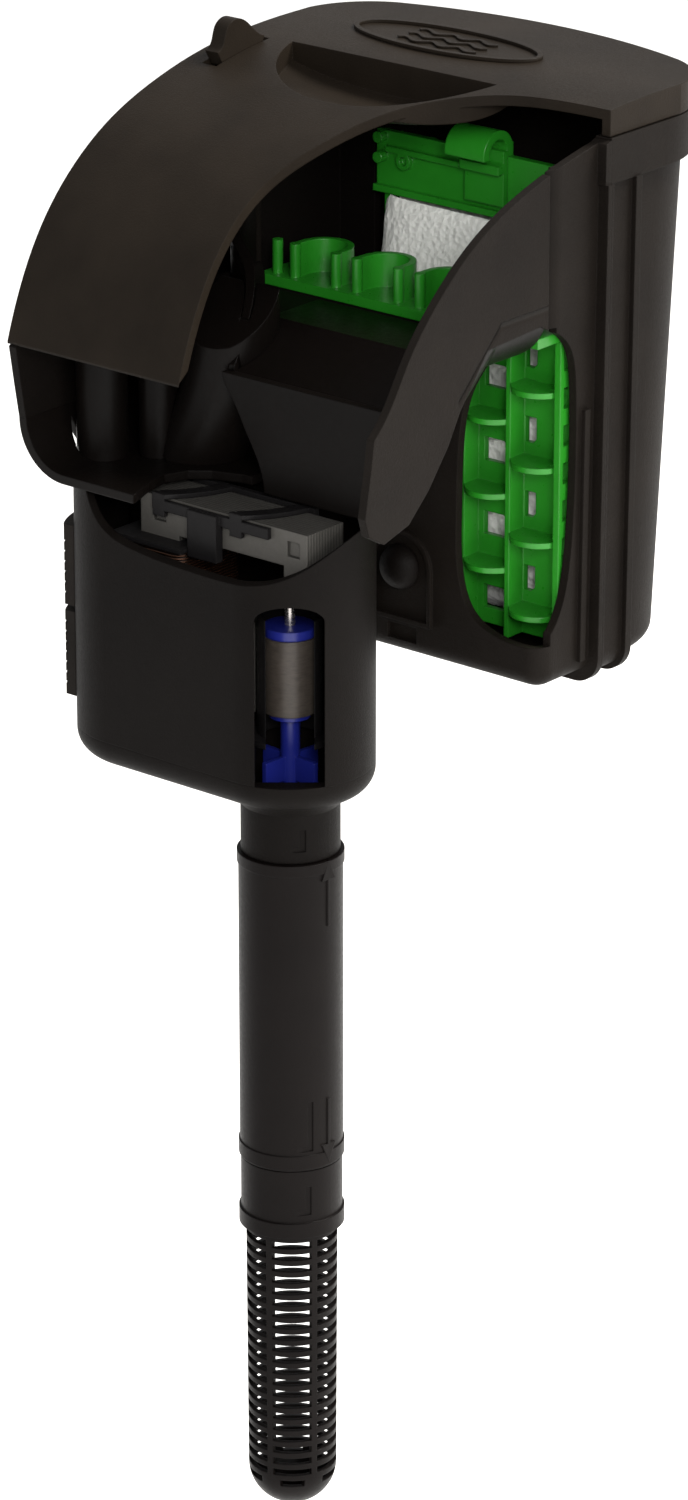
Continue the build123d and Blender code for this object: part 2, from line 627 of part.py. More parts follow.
def view_slot(z0, z1, width, reach=40.0):
    """Upright slot cut from the pump axis out through the front of the housing."""
    middle = Pos(PUMP_X, PUMP_Y, (z0 + z1) / 2) * Rot(0, 0, CUT_TURN) * Pos(reach / 2, 0, 0)
    return middle * Box(reach, width, z1 - z0)


def scoop():
    """Oval opening that lays the motor open, lower in front than at the back."""
    front_y = PUMP_Y - HOUSING_R - 2
    profile = [
        (-38.5, -30.0), (-36.5, -38.5), (-31.5, -44.2), (-22.0, -47.2), (-5.0, -48.6),
        (14.0, -48.4), (24.0, -46.2), (30.0, -42.0), (36.0, -30.0),
    ]
    curve = Spline(*[(x, front_y, z) for x, z in profile])
    face = make_face([curve, Line(curve @ 1, curve @ 0)])
    return extrude(face, amount=44.0, dir=(0, 1, SCOOP_SLOPE))


def motor_housing():
    outer = extrude(stadium(HOUSING_SEAM_Z, HOUSING_R), amount=TRAY_FLOOR_Z - HOUSING_SEAM_Z)
    inner = extrude(stadium(HOUSING_SEAM_Z - 1, HOUSING_R - WALL), amount=80)
    window = view_slot(HOUSING_SEAM_Z - 1, WINDOW_TOP - WINDOW_WIDTH / 4, WINDOW_WIDTH)
    arch = Pos(PUMP_X, PUMP_Y, WINDOW_TOP - WINDOW_WIDTH / 4) * Rot(0, 0, CUT_TURN) * Pos(20, 0, 0)
    arch = arch * Rot(0, 90, 0) * scale(Cylinder(WINDOW_WIDTH / 2, 40), by=(0.5, 1, 1))
    return outer - inner - scoop() - window - arch


def housing_base():
    """Rounded bottom cap with the impeller chamber and the intake neck."""
    cap = extrude(stadium(HOUSING_SEAM_Z - CAP_DEPTH, HOUSING_R), amount=CAP_DEPTH)
    cap = fillet(cap.edges().group_by(Axis.Z)[0], CAP_DEPTH - 1.0)
    hollow = extrude(stadium(HOUSING_SEAM_Z - CAP_DEPTH + 2, HOUSING_R - 6.5), amount=CAP_DEPTH)
    ring = rod(PUMP_X, PUMP_Y, NECK_TOP - 2.0, WELL_FOOT - 0.2, CHAMBER_R + CHAMBER_WALL)
    cone = Pos(PUMP_X, PUMP_Y, NECK_TOP - 1.0) * Cone(NECK_R, NECK_R + 3.5, 4.0)
    neck = rod(PUMP_X, PUMP_Y, NECK_END, NECK_TOP, NECK_R)
    part = cap - hollow + ring + cone + neck
    part -= rod(PUMP_X, PUMP_Y, NECK_TOP - 2.0, WELL_FOOT + 1, CHAMBER_R)
    part -= rod(PUMP_X, PUMP_Y, NECK_END - 1, NECK_TOP, NECK_BORE_R)
    part -= view_slot(HOUSING_SEAM_Z, HOUSING_SEAM_Z + 20, WINDOW_WIDTH)
    part -= view_slot(HOUSING_SEAM_Z - 5.0, HOUSING_SEAM_Z + 1, WINDOW_WIDTH, 15.5)
    part -= bayonet_groove(NECK_R, -117.0, -111.5, 55.0)
    return part


def bayonet_groove(r, z_low, z_high, angle):
    """Shallow L groove on the outside of a tube."""
    upright = Pos(r, 0, (z_low + z_high) / 2) * Box(0.8, 1.3, z_high - z_low)
    foot = Pos(r, -2.2, z_low + 0.6) * Box(0.8, 5.0, 1.3)
    return Pos(PUMP_X, PUMP_Y, 0) * Rot(0, 0, angle - 90) * (upright + foot)


def lower_bush():
    """Spider that holds the foot of the rotor pin in the neck."""
    z0 = -112.0
    z1 = -108.5
    hub = rod(PUMP_X, PUMP_Y, z0, z1, 2.6)
    part = hub
    for k in range(3):
        arm = Pos(PUMP_X, PUMP_Y, (z0 + z1) / 2) * Rot(0, 0, 20 + 120 * k)
        part += arm * Pos(NECK_BORE_R / 2, 0, 0) * Box(NECK_BORE_R - 0.4, 1.2, z1 - z0)
    part = part + pipe(PUMP_X, PUMP_Y, z0, z1, NECK_BORE_R, NECK_BORE_R - 0.9)
    return part - rod(PUMP_X, PUMP_Y, z0 + 0.8, z1 + 1, PIN_R)


def upper_bush():
    """Hub on the pin's top, held from behind by arms that stand on the sleeve."""
    z0, z1 = BUSH_Z
    part = rod(PUMP_X, PUMP_Y, z0, z1, 2.4)
    outer = WELL_R + WELL_WALL
    for turn in (85, 130, 175):
        place = Pos(PUMP_X, PUMP_Y, 0) * Rot(0, 0, turn)
        part += place * Pos(outer / 2, 0, (z0 + z1) / 2) * Box(outer, 1.2, z1 - z0)
        part += place * Pos(outer - 0.5, 0, (z1 + WELL_TOP) / 2) * Box(1.0, 1.2, z1 - WELL_TOP)
    return part - rod(PUMP_X, PUMP_Y, -70, -50, PIN_R)


def rotor_well():
    """Thin sleeve round the magnet, cut open toward the front, with a foot flange."""
    sleeve = rod(PUMP_X, PUMP_Y, WELL_FOOT, WELL_TOP, WELL_R + WELL_WALL)
    flange = rod(PUMP_X, PUMP_Y, WELL_FOOT, WELL_FOOT + 1.5, CHAMBER_R + CHAMBER_WALL)
    part = sleeve + flange - rod(PUMP_X, PUMP_Y, WELL_FOOT - 1, WELL_TOP + 1, WELL_R)
    return part - view_slot(WELL_FOOT - 1, WELL_TOP + 1, 11.5)


def rotor_magnet():
    return pipe(PUMP_X, PUMP_Y, MAGNET_BOTTOM, MAGNET_TOP, MAGNET_R, HUB_R)


def rotor_cap():
    return pipe(PUMP_X, PUMP_Y, MAGNET_TOP, CAP_TOP, CAP_R, PIN_R + PIN_FIT)


def impeller():
    part = rod(PUMP_X, PUMP_Y, HUB_BOTTOM, MAGNET_TOP, HUB_R)
    part += rod(PUMP_X, PUMP_Y, MAGNET_BOTTOM - 1.6, MAGNET_BOTTOM, 5.0)
    for k in range(4):
        blade = Pos(PUMP_X, PUMP_Y, (BLADE_BOTTOM + BLADE_TOP) / 2) * Rot(0, 0, BLADE_FIRST + 90 * k)
        part += blade * Pos(BLADE_R / 2, 0, 0) * Box(BLADE_R, BLADE_THICK, BLADE_TOP - BLADE_BOTTOM)
    return part - rod(PUMP_X, PUMP_Y, HUB_BOTTOM - 1, MAGNET_TOP + 1, PIN_R + PIN_FIT)


def stator_core():
    """Laminated stack: top bar, coil leg, foot bar and the two poles at the rotor."""
    x0, x1, z0, z1 = BAR
    leg0, leg1 = COIL_LEG
    stack = block(x0, x1, CORE_FRONT, CORE_BACK, z0, z1)
    stack += block(leg0, leg1, CORE_FRONT, CORE_BACK, -86.0, z0)
    stack += block(leg1, PUMP_X - POLE_GAP_R + 1.5, CORE_FRONT, CORE_BACK, -86.0, -78.0)
    stack += block(PUMP_X - POLE_GAP_R - 6.0, PUMP_X - POLE_GAP_R + 1.5, CORE_FRONT, CORE_BACK, -78.0, -64.0)
    stack += block(PUMP_X + POLE_GAP_R - 1.5, x1, CORE_FRONT, CORE_BACK, -86.0, z0)
    stack -= rod(PUMP_X, PUMP_Y, -90, -46, POLE_GAP_R)
    stack -= view_slot(-90, WINDOW_TOP, WINDOW_WIDTH)
    for x in RIVET_X:
        stack -= block(x - 1.9, x + 1.9, CORE_FRONT - 1, CORE_BACK + 1, -42.3, -38.5)
    return stack


def core_rivets():
    """Square rivets through the stack, a little below its face."""
    parts = [block(x - 1.8, x + 1.8, CORE_FRONT + 0.8, CORE_BACK - 0.2, -42.2, -38.6) for x in RIVET_X]
    return Compound(children=parts)


def coil_bobbin():
    x0, x1 = COIL_LEG
    sleeve = block(x0 - 1.2, x1 + 1.2, CORE_FRONT - 1.2, CORE_BACK + 1.2, -77.0, -46.0)
    part = sleeve
    for z in (-77.0, -47.2):
        part += block(x0 - 5.5, x1 + 4.6, CORE_FRONT - 5.0, CORE_BACK + 6.5, z, z + 1.2)
    part -= block(x0, x1, CORE_FRONT, CORE_BACK, -80, -40)
    return part & extrude(stadium(-97, HOUSING_R - WALL - 0.3), amount=60)


def coil_winding():
    x0, x1 = COIL_LEG
    outer = block(x0 - 4.6, x1 + 4.2, CORE_FRONT - 4.4, CORE_BACK + 5.6, -75.8, -47.2)
    outer = fillet(outer.edges().filter_by(Axis.Z), 3.5)
    return outer - block(x0 - 1.2, x1 + 1.2, CORE_FRONT - 1.2, CORE_BACK + 1.2, -80, -40)


def bobbin_bracket():
    """Clip over the top bar: front rail with a U hook, two curved straps, back rail."""
    top = BAR[3]
    y0 = CORE_FRONT
    rail = block(-24.0, 12.0, y0 - 1.4, y0 - 0.2, top - 3.0, top - 0.4)
    hook = block(-12.0, -3.0, y0 - 2.6, y0 - 0.2, -48.0, top - 0.4)
    hook -= block(-9.6, -5.4, y0 - 1.6, y0 + 1, -45.6, top + 1)
    straps = strap(-22.0, -13.5, top) + strap(2.0, 10.5, top)
    back = block(-24.0, 14.0, CORE_BACK + 0.2, CORE_BACK + 1.8, top - 7.0, top + 1.2)
    ties = block(-24.0, -22.0, y0 - 1.4, y0 - 0.2, top - 3.0, top + 1.2)
    return rail + hook + straps + back + ties


def strap(x_front, x_back, top):
    """Curved strip that crosses the bar from its front face to its back face."""
    path = ThreePointArc(
        (x_front, CORE_FRONT - 0.8, top),
        ((x_front + x_back) / 2 + 1.6, (CORE_FRONT + CORE_BACK) / 2, top),
        (x_back, CORE_BACK + 1.0, top))
    strip = sweep(Plane(origin=path @ 0, x_dir=(0, 0, 1), z_dir=path % 0) * Rectangle(8, 3.6), path=path)
    keep = block(-60, 60, CORE_FRONT - 1.4, CORE_BACK + 1.8, top + 0.05, top + 1.2)
    down = block(x_front - 1.8, x_front + 1.8, CORE_FRONT - 1.4, CORE_FRONT - 0.2, top - 4.5, top + 1.2)
    return (strip & keep) + down


def grip_pads():
    """Ribbed pads on the left end of the motor housing, one above the other."""
    pads = []
    for z0, z1 in ((-91.5, -70.0), (-68.5, -48.0)):
        ring = pipe(HOUSING_LEFT_X, PUMP_Y, z0, z1, HOUSING_R + 2.6, HOUSING_R)
        ring = ring & block(-70, HOUSING_LEFT_X - 14.0, PUMP_Y - 13.5, PUMP_Y + 9.0, z0, z1)
        for k in range(1, int((z1 - z0) / 2.6)):
            z = z0 + 2.6 * k
            ring -= pipe(HOUSING_LEFT_X, PUMP_Y, z, z + 0.7, HOUSING_R + 4, HOUSING_R + 2.0)
        pads.append(ring)
    return pads


def riser_pipe():
    x, y, r = -41.5, -22.0, 4.6
    return pipe(x, y, HOUSING_SEAM_Z + 6.2, TRAY_FLOOR_Z - 3.4, r, r - 1.2)


def pump_gallery():
    """Flat duct from the impeller chamber to the riser pipe."""
    z0 = HOUSING_SEAM_Z + 0.2
    shell = block(-46.0, PUMP_X - CHAMBER_R - CHAMBER_WALL + 1.0, -26.5, -17.5, z0, z0 + 6.0)
    hollow = block(-44.8, PUMP_X - 2, -25.3, -18.7, z0 + 1.2, z0 + 4.8)
    shell = shell - hollow - rod(-41.5, -22.0, z0 + 4, z0 + 7, 3.4)
    return shell - rod(PUMP_X, PUMP_Y, -110, -80, CHAMBER_R + CHAMBER_WALL)


def housing_seal():
    rim = extrude(stadium(HOUSING_SEAM_Z, HOUSING_R - WALL - 0.2), amount=1.6)
    rim -= extrude(stadium(HOUSING_SEAM_Z - 1, HOUSING_R - WALL - 1.6), amount=4)
    return rim - view_slot(-100, -90, WINDOW_WIDTH) - pump_gallery_box()


def pump_gallery_box():
    return block(-46.2, 0, -26.7, -17.3, HOUSING_SEAM_Z, -90)


def cord_gland_boss():
    """Raised ring on the left cheek where the cord gland sits."""
    y, z = GLAND_PLACE
    x1 = LEFT_CHEEK_OUT
    return rod_along_x(x1 - 0.8, x1, y, z, 5.6)


def cord_gland():
    """Inlet gland for the supply cord, on the left cheek."""
    y, z = GLAND_PLACE
    x1 = LEFT_CHEEK_OUT - 0.8
    return rod_along_x(x1 - 3.2, x1, y, z, 4.2) - rod_along_x(x1 - 5, x1 + 1, y, z, 2.0)


def extension_tube():
    tube = rod(PUMP_X, PUMP_Y, TUBE_END, NECK_END - GAP, TUBE_R)
    tube += rod(PUMP_X, PUMP_Y, NECK_END - 3.2, NECK_END - GAP, TUBE_R + 0.35)
    tube += rod(PUMP_X, PUMP_Y, TUBE_END + 0.4, TUBE_END + 4.0, COLLAR_R)
    tube += rod(PUMP_X, PUMP_Y, NECK_END - GAP, -113.0, NECK_BORE_R - PIN_FIT)
    tube -= rod(PUMP_X, PUMP_Y, TUBE_END - 1, NECK_END - 4.0, TUBE_BORE_R)
    tube -= rod(PUMP_X, PUMP_Y, NECK_END - 5.0, NECK_END + 20, NECK_BORE_R - 1.4)
    tube -= bayonet_groove(TUBE_R, -195.0, -182.0, 62.0)
    tube += arrow(-131.0, 1) + arrow(-188.0, -1)
    return tube


def arrow(z, way):
    """Slim raised arrow up or down the right side of the tube."""
    shaft = Pos(TUBE_R, 0, z) * Box(0.7, 0.8, 12.0)
    head = [(-2.2, 0.0), (2.2, 0.0), (0.0, 5.0)]
    tip = make_face(Polyline(*[(TUBE_R - 0.35, y, z + way * (6.0 + dz)) for y, dz in head], close=True))
    shape = shaft + extrude(tip, amount=0.7, dir=(1, 0, 0))
    turned = Pos(PUMP_X, PUMP_Y, 0) * Rot(0, 0, -5.0) * shape
    return turned - rod(PUMP_X, PUMP_Y, -220, -100, TUBE_R - 1.0)


def tube_coupler():
    part = rod(PUMP_X, PUMP_Y, COUPLER_END, TUBE_END - GAP, COUPLER_R)
    part += rod(PUMP_X, PUMP_Y, COLLAR_END, COUPLER_END, COLLAR_R)
    part += rod(PUMP_X, PUMP_Y, TUBE_END - GAP, -188.0, TUBE_BORE_R - PIN_FIT)
    part -= rod(PUMP_X, PUMP_Y, COLLAR_END - 1, -180, TUBE_BORE_R - 1.5)
    return part - bayonet_groove(COUPLER_R, -212.0, -204.5, 60.0)


def strainer():
    """Slotted cage with a domed end."""
    tip = STRAINER_TIP_R
    dome_z = STRAINER_TIP_Z + tip
    height = COLLAR_END - dome_z
    outer = Pos(PUMP_X, PUMP_Y, dome_z + height / 2) * Cone(tip, STRAINER_R, height)
    outer += Pos(PUMP_X, PUMP_Y, dome_z) * Sphere(tip)
    w = STRAINER_WALL
    inner = Pos(PUMP_X, PUMP_Y, dome_z + height / 2 + 0.5) * Cone(tip - w, STRAINER_R - w, height + 1.0)
    inner += Pos(PUMP_X, PUMP_Y, dome_z) * Sphere(tip - w)
    return outer - inner - strainer_slots()


def slot_ring(z, half_angle, height):
    """Six arc slots at one height."""
    ring = pipe(PUMP_X, PUMP_Y, z, z + height, STRAINER_R + 2, STRAINER_R - STRAINER_WALL - 2)
    gaps = []
    for k in range(3):
        post = Pos(PUMP_X, PUMP_Y, z + height / 2) * Rot(0, 0, CUT_TURN + 30 + 60 * k)
        width = 2 * STRAINER_R * math.sin(math.radians(30 - half_angle))
        gaps.append(post * Box(60, width, height + 1))
    return ring - gaps


def strainer_slots():
    rings = [slot_ring(SLOT_TOP - k * SLOT_PITCH, SLOT_HALF_ANGLE, SLOT_HEIGHT) for k in range(SLOT_ROWS)]
    rings.append(slot_ring(SLOT_TOP - SLOT_ROWS * SLOT_PITCH, SLOT_HALF_ANGLE - 9, SLOT_HEIGHT))
    return rings


def bio_comb():
    """Shelf on the weir edge with a row of cups open to the front, and a post."""
    z0 = COMB_Z + COMB_THICK
    z1 = z0 + CUP_HEIGHT
    part = block(COMB_LEFT, COMB_RIGHT, COMB_FRONT, GRID_PLATE_BACK, COMB_Z, z0)
    y = COMB_FRONT + 6.0
    arm_x = CUP_R - CUP_WALL / 2
    for k in range(4):
        x = COMB_LEFT + 15.6 + CUP_PITCH * k
        cup = pipe(x, y, z0, z1, CUP_R, CUP_R - CUP_WALL) & block(-60, 60, y, 40, z0, z1)
        for side in (-arm_x, arm_x):
            cup += block(x + side - CUP_WALL / 2, x + side + CUP_WALL / 2, y - 3.0, y + 0.1, z0, z1)
            cup += rod(x + side, y - 3.2, z0, z1, CUP_POST_R)
        part += cup & block(-60, COMB_RIGHT, 0, 40, z0, z1)
    return part + rod(COMB_LEFT + 3.5, COMB_FRONT + 3.0, z0, z1, CUP_POST_R)


def bio_grid_panel():
    """Plate with staggered shelves, upright ribs and openings below the comb."""
    z1 = COMB_Z
    plate = block(COMB_LEFT + 1.5, GRID_RIGHT, GRID_PLATE_FRONT, GRID_PLATE_BACK, GRID_BOTTOM, z1)
    plate += block(GRID_RIGHT - 1.8, GRID_RIGHT, GRID_RIB_FRONT, GRID_SIDE_BACK, GRID_BOTTOM, z1)
    ribs_x = [GRID_RIGHT - 1.8 - GRID_COLUMN * k for k in range(1, 6)]
    for x in ribs_x:
        plate += block(x - 0.7, x + 0.7, GRID_RIB_FRONT, GRID_PLATE_FRONT, GRID_BOTTOM, z1)
    for column_index in range(6):
        x = GRID_RIGHT - 1.8 - GRID_COLUMN * (column_index + 0.5)
        odd = column_index % 2
        for row in range(4):
            z = GRID_FIRST_SHELF - GRID_PITCH * (row + 0.5 * odd)
            plate += grid_shelf(x, z)
            if odd:
                plate -= grid_hole(x, z + 9.5, GRID_WIDE_HOLE)
            else:
                plate -= grid_hole(x - GRID_COLUMN / 2 + 2.6, z + 7.5, GRID_SLIM_HOLE)
    for k in range(8):
        z = -1.9 - GRID_PITCH / 2 * k
        plate -= block(GRID_RIGHT - 4, GRID_RIGHT + 2, 20.4, 24.0, z - 2.6, z + 2.6)
    return plate & block(-60, 60, 0, 60, GRID_BOTTOM, z1)


def grid_shelf(x, z):
    """Half-moon shelf that bulges out of the plate."""
    left = (x - GRID_COLUMN / 2, GRID_PLATE_FRONT, z)
    right = (x + GRID_COLUMN / 2, GRID_PLATE_FRONT, z)
    arc = ThreePointArc(left, (x, GRID_RIB_FRONT - 3.5, z), right)
    face = make_face([arc, Line(right, left)])
    return extrude(face, amount=1.4, dir=(0, 0, 1))


def grid_hole(x, z, outline):
    return front_plate([(x + dx, z + dz) for dx, dz in outline], GRID_PLATE_FRONT - 1, GRID_PLATE_BACK + 1)


def cartridge_frame():
    """Flat frame with a deep top bar, a curled grip and corner studs."""
    part = block(-23.5, 50.5, FRAME_FRONT, FRAME_BACK, FRAME_BAR_BOTTOM, FRAME_TOP)
    part += block(-21.0, -18.0, FRAME_FRONT, FRAME_BACK, -72.0, FRAME_BAR_BOTTOM)
    part += block(44.5, 47.5, FRAME_FRONT, FRAME_BACK, -72.0, FRAME_BAR_BOTTOM)
    part += block(-21.0, 47.5, FRAME_FRONT, FRAME_BACK, -75.0, -72.0)
    part += block(-23.5, 50.5, FRAME_FRONT - 1.5, FRAME_FRONT, FRAME_BAR_BOTTOM, FRAME_BAR_BOTTOM + 1.6)
    part += block(-20.0, 3.0, FRAME_FRONT - 1.2, FRAME_FRONT, FRAME_TOP - 5.0, FRAME_TOP - 3.6)
    for z in (FRAME_TOP - 1.5, FRAME_TOP - 6.5):
        part += rod_along_y(-21.5, FRAME_FRONT - 2.4, FRAME_FRONT, z, 1.4)
    part += pipe_along_y(-14.5, FRAME_FRONT - 1.2, FRAME_FRONT, 30.0, 2.2, 1.1)
    return part


def pipe_along_y(x, y0, y1, z, r_out, r_in):
    return rod_along_y(x, y0, y1, z, r_out) - rod_along_y(x, y0 - 1, y1 + 1, z, r_in)


def cartridge_grip():
    """Curled handle on top of the frame."""
    y = FRAME_FRONT - 3.6
    curl = rod_along_x(5.0, 17.0, y, FRAME_TOP + 1.5, 5.6) - rod_along_x(4.0, 18.0, y, FRAME_TOP + 1.5, 3.4)
    curl -= block(0, 30, y - 8, y, FRAME_TOP - 8, FRAME_TOP + 0.5)
    stem = block(5.0, 17.0, FRAME_FRONT - 1.6, FRAME_FRONT, FRAME_BAR_BOTTOM + 3.0, FRAME_TOP + 1.5)
    stem += block(5.0, 17.0, FRAME_FRONT, FRAME_BACK, FRAME_TOP, FRAME_TOP + 3.4)
    return curl + stem - block(-10, 40, FRAME_FRONT, 60, 0, FRAME_TOP)


def filter_bag():
    """Floss bag drawn over the frame's side bars, open along its top."""
    outer = side_plate(BAG_SIDE, BAG_LEFT, BAG_RIGHT)
    outline = Polyline(*[(BAG_LEFT + BAG_WALL, y, z) for y, z in BAG_SIDE], close=True)
    room = offset(make_face(outline), -BAG_WALL)
    hollow = extrude(room, amount=BAG_RIGHT - BAG_LEFT - 2 * BAG_WALL, dir=(1, 0, 0))
    top_y0, top_z = BAG_SIDE[0]
    top_y1 = BAG_SIDE[-1][0]
    hollow += block(
        BAG_LEFT + BAG_WALL, BAG_RIGHT - BAG_WALL, top_y0 + BAG_WALL, top_y1 - BAG_WALL, top_z - 6, top_z + 1)
    return outer - hollow


def carbon_fill():
    """Block of granules between the frame's side bars."""
    return side_plate(CARBON_SIDE, CARBON_LEFT, CARBON_RIGHT)


def main_solid(shape):
    """The largest solid of a shape, without its slivers."""
    return max(shape.solids(), key=lambda solid: solid.volume)


def build():
    shell = box_shell()
    deck = spout_deck()
    apron = spout_apron(deck)
    pads = grip_pads()
    nodes = {
        "box_front_shell": box_front_shell(shell),
        "box_rear_shell": shell & block(-80, 80, PARTING_Y, 100, -100, 60),
        "spout_deck": deck,
        "bridge_plate": bridge_plate(),
        "right_cheek": right_cheek(deck),
        "left_cheek": left_cheek(),
        "spout_tray": spout_tray(),
        "back_wall": back_wall(deck),
        "riser_column_outer": main_solid(column(COLUMN_OUTER) - spout_tray()),
        "riser_column_inner": column(COLUMN_INNER),
        "riser_elbow": riser_elbow(),
        "side_duct": side_duct(deck, apron),
        "spout_apron": apron,
        "channel_wall": main_solid(channel_wall(0) - deck - apron),
        "divider_wall": divider_wall(),
        "lid": lid(),
        "lid_emblem": emblem(),
        "flow_lever": flow_lever(),
        "bio_comb": bio_comb(),
        "bio_grid_panel": bio_grid_panel(),
        "cartridge_frame": cartridge_frame(),
        "cartridge_grip": cartridge_grip(),
        "filter_bag": filter_bag(),
        "carbon_fill": carbon_fill(),
        "motor_housing": motor_housing(),
        "housing_base": housing_base(),
        "housing_seal": housing_seal(),
        "rotor_well": rotor_well(),
        "upper_bush": upper_bush(),
        "lower_bush": lower_bush(),
        "rotor_pin": rod(PUMP_X, PUMP_Y, PIN_FOOT, PIN_TOP, PIN_R),
        "rotor_magnet": rotor_magnet(),
        "rotor_cap": rotor_cap(),
        "impeller": impeller(),
        "stator_core": stator_core(),
        "core_rivets": core_rivets(),
        "coil_bobbin": coil_bobbin(),
        "coil_winding": coil_winding(),
        "bobbin_bracket": bobbin_bracket(),
        "grip_pad_lower": pads[0],
        "grip_pad_upper": pads[1],
        "riser_pipe": riser_pipe(),
        "pump_gallery": pump_gallery(),
        "cord_gland": cord_gland(),
        "level_screw": level_screw(),
        "extension_tube": extension_tube(),
        "tube_coupler": tube_coupler(),
        "strainer": strainer(),
    }
    for name, shape in nodes.items():
        save(name, shape)
        print(name, len(shape.solids()), round(shape.volume), shape.is_valid)


build()
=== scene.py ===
"""Materials, filter bag, studio and camera for the hang on back filter."""
import math

import bmesh
import bpy
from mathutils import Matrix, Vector, noise


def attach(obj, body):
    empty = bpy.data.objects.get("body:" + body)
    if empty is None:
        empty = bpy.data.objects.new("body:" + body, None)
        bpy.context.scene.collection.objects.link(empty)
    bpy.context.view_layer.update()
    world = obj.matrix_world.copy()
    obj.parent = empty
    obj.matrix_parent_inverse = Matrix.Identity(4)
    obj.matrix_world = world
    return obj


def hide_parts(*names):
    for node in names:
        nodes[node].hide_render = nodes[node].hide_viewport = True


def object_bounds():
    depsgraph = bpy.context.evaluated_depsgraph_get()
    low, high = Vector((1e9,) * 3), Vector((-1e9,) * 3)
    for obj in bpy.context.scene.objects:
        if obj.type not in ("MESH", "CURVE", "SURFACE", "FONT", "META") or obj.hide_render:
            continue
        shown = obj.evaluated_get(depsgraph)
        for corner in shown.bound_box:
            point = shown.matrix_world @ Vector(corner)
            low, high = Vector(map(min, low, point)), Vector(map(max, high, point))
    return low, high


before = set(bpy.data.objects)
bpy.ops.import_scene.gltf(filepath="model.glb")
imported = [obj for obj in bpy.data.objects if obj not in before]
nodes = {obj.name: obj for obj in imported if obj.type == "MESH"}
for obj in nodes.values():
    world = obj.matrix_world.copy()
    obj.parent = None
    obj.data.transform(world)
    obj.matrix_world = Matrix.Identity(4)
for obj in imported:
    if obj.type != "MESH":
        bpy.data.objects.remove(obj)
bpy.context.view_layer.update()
scene = bpy.context.scene

MM = 0.001


# ---------------------------------------------------------------- material helpers

EVEN_SCALE = (1.0, 1.0, 1.0)
NOISE_BAND = (0.3, 0.7)         # stretch of a noise's range that carries its contrast
EDGE_ROUND = 0.45 * MM
EDGE_SAMPLES = 4


def new_material(name):
    mat = bpy.data.materials.new(name)
    mat.use_nodes = True
    tree = mat.node_tree
    tree.nodes.clear()
    out = tree.nodes.new("ShaderNodeOutputMaterial")
    shader = tree.nodes.new("ShaderNodeBsdfPrincipled")
    tree.links.new(shader.outputs["BSDF"], out.inputs["Surface"])
    return mat, tree, shader


def object_coords(tree, scale=EVEN_SCALE):
    coords = tree.nodes.new("ShaderNodeTexCoord")
    mapping = tree.nodes.new("ShaderNodeMapping")
    mapping.inputs["Scale"].default_value = scale
    tree.links.new(coords.outputs["Object"], mapping.inputs["Vector"])
    return mapping.outputs["Vector"]


def noise_node(tree, vector, scale, detail=3.0, roughness=0.55):
    node = tree.nodes.new("ShaderNodeTexNoise")
    node.inputs["Scale"].default_value = scale
    node.inputs["Detail"].default_value = detail
    node.inputs["Roughness"].default_value = roughness
    tree.links.new(vector, node.inputs["Vector"])
    return node.outputs["Fac"]


def voronoi_node(tree, vector, scale):
    node = tree.nodes.new("ShaderNodeTexVoronoi")
    node.inputs["Scale"].default_value = scale
    tree.links.new(vector, node.inputs["Vector"])
    return node.outputs["Distance"]


def wave_node(tree, vector, direction, scale, distortion):
    node = tree.nodes.new("ShaderNodeTexWave")
    node.bands_direction = direction
    node.inputs["Scale"].default_value = scale
    node.inputs["Distortion"].default_value = distortion
    tree.links.new(vector, node.inputs["Vector"])
    return node.outputs["Fac"]


def remap(tree, value, low, high):
    node = tree.nodes.new("ShaderNodeMapRange")
    node.inputs["From Min"].default_value = NOISE_BAND[0]
    node.inputs["From Max"].default_value = NOISE_BAND[1]
    node.inputs["To Min"].default_value = low
    node.inputs["To Max"].default_value = high
    tree.links.new(value, node.inputs["Value"])
    return node.outputs["Result"]


def colour_mix(tree, factor, dark, light):
    ramp = tree.nodes.new("ShaderNodeValToRGB")
    for stop, position, colour in zip(ramp.color_ramp.elements, NOISE_BAND, (dark, light)):
        stop.position = position
        stop.color = (*colour, 1)
    tree.links.new(factor, ramp.inputs["Fac"])
    return ramp.outputs["Color"]


def bump(tree, shader, height, strength, distance):
    """Surface relief on top of slightly rounded edges."""
    node = tree.nodes.new("ShaderNodeBump")
    edge = tree.nodes.new("ShaderNodeBevel")
    edge.samples = EDGE_SAMPLES
    edge.inputs["Radius"].default_value = EDGE_ROUND
    tree.links.new(edge.outputs["Normal"], node.inputs["Normal"])
    node.inputs["Strength"].default_value = strength
    node.inputs["Distance"].default_value = distance
    tree.links.new(height, node.inputs["Height"])
    tree.links.new(node.outputs["Normal"], shader.inputs["Normal"])


# ---------------------------------------------------------------- materials

CLOUD_SCALE = 45.0              # broad mottle in moulded plastic
GRAIN_DEPTH = 0.2 * MM
FINE_DETAIL = 4.0
FINE_ROUGHNESS = 0.7


def plastic(name, dark, light, rough, grain_scale, grain, specular):
    """Moulded plastic or rubber with a fine spark grain and a soft cloudiness."""
    mat, tree, shader = new_material(name)
    vector = object_coords(tree)
    cloud = noise_node(tree, vector, CLOUD_SCALE)
    fine = noise_node(tree, vector, grain_scale, FINE_DETAIL, FINE_ROUGHNESS)
    tree.links.new(colour_mix(tree, cloud, dark, light), shader.inputs["Base Color"])
    tree.links.new(remap(tree, fine, rough - 0.06, rough + 0.08), shader.inputs["Roughness"])
    shader.inputs["Specular IOR Level"].default_value = specular
    bump(tree, shader, fine, grain, GRAIN_DEPTH)
    return mat


